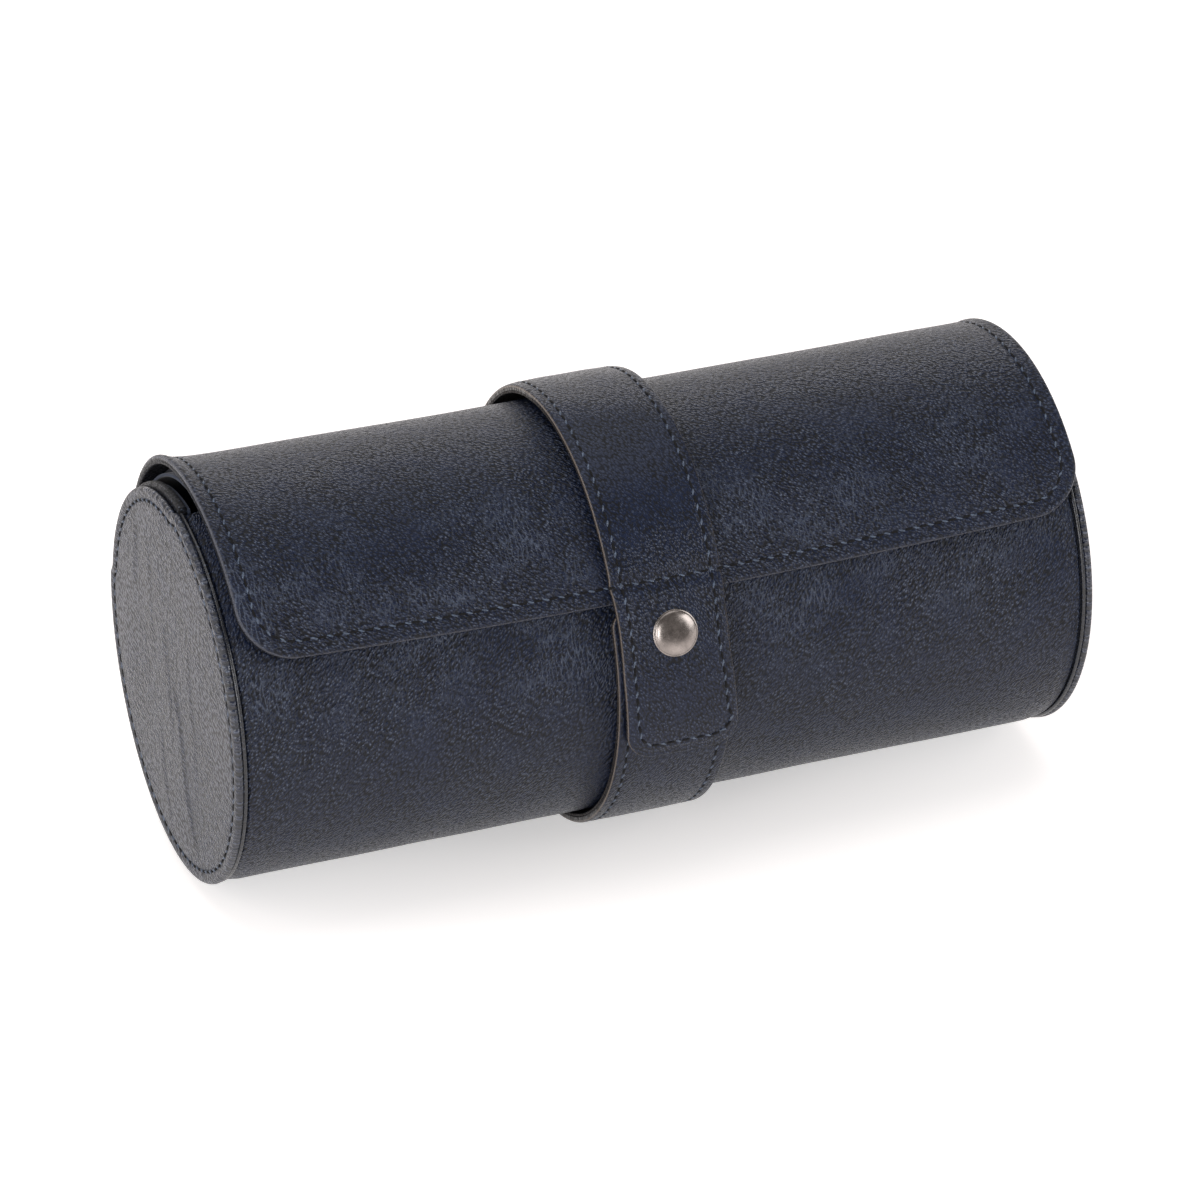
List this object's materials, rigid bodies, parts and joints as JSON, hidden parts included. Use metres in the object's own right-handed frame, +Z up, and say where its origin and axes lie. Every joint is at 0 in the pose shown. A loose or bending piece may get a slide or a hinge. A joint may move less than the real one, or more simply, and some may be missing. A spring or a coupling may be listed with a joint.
{
  "type": "watch roll",
  "caption": "Leather barrel case for watches with round end discs, a hinged flap, a strap with a snap tab and lift-out cushions.",
  "frame": {"origin": "on the flat face under the strap that the roll rests on, at the middle of the barrel's length", "axes": "+X along the barrel to the right end, +Y to the hinge at the back, +Z up"},
  "size_m": [0.203, 0.0982, 0.1002],
  "materials": {
    "body_leather": "navy pebbled leather with a satin surface",
    "disc_leather": "navy leather that looks grey in the glare, with fine upright creases",
    "strap_leather": "navy pebbled leather with raw, pale cut edges",
    "backing_leather": "smooth thin leather",
    "piping": "glossy edge cord",
    "board": "grey stiffening board",
    "suede": "blue-grey suede",
    "cushion_suede": "blue-grey suede",
    "foam": "soft foam",
    "cap_metal": "polished gunmetal",
    "snap_metal": "plain plated steel"
  },
  "bodies": {
    "tub": {"shell_leather": "body_leather", "shell_board": "board", "shell_lining": "suede", "left_disc": "disc_leather", "left_board": "board", "left_lining": "suede", "left_piping": "piping", "right_disc": "disc_leather", "right_board": "board", "right_lining": "suede", "right_piping": "piping", "left_divider_board": "board", "left_divider_cover": "suede", "right_divider_board": "board", "right_divider_cover": "suede", "lower_strap": "strap_leather", "lower_strap_backing": "backing_leather", "snap_stud": "snap_metal", "stud_rivet": "snap_metal"},
    "flap": {"flap_leather": "body_leather", "flap_board": "board", "flap_lining": "suede", "upper_strap": "strap_leather", "upper_strap_backing": "backing_leather"},
    "tab": {"tab_leather": "strap_leather", "tab_backing": "backing_leather", "snap_cap": "cap_metal", "snap_socket": "snap_metal"},
    "left_cushion": {"left_cushion_wrap": "cushion_suede", "left_cushion_ends": "cushion_suede", "left_cushion_core": "foam"},
    "middle_cushion": {"middle_cushion_wrap": "cushion_suede", "middle_cushion_ends": "cushion_suede", "middle_cushion_core": "foam"},
    "right_cushion": {"right_cushion_wrap": "cushion_suede", "right_cushion_ends": "cushion_suede", "right_cushion_core": "foam"}
  },
  "joints": [
    {"name": "flap_hinge", "type": "hinge", "parent": "tub", "child": "flap", "pos_m": [0, 0.04432, 0.05491], "axis": [-1, 0, 0], "range_deg": [0, 115]},
    {"name": "tab_hinge", "type": "hinge", "parent": "flap", "child": "tab", "pos_m": [-0.001, -0.04245, 0.07414], "axis": [-1, 0, 0], "range_deg": [0, 110]},
    {"name": "left_cushion_lift", "type": "slide", "parent": "tub", "child": "left_cushion", "axis": [0, 0.5948, 0.8039], "range_m": [0, 0.03]},
    {"name": "middle_cushion_lift", "type": "slide", "parent": "tub", "child": "middle_cushion", "axis": [0, 0.5948, 0.8039], "range_m": [0, 0.03]},
    {"name": "right_cushion_lift", "type": "slide", "parent": "tub", "child": "right_cushion", "axis": [0, 0.5948, 0.8039], "range_m": [0, 0.03]}
  ]
}
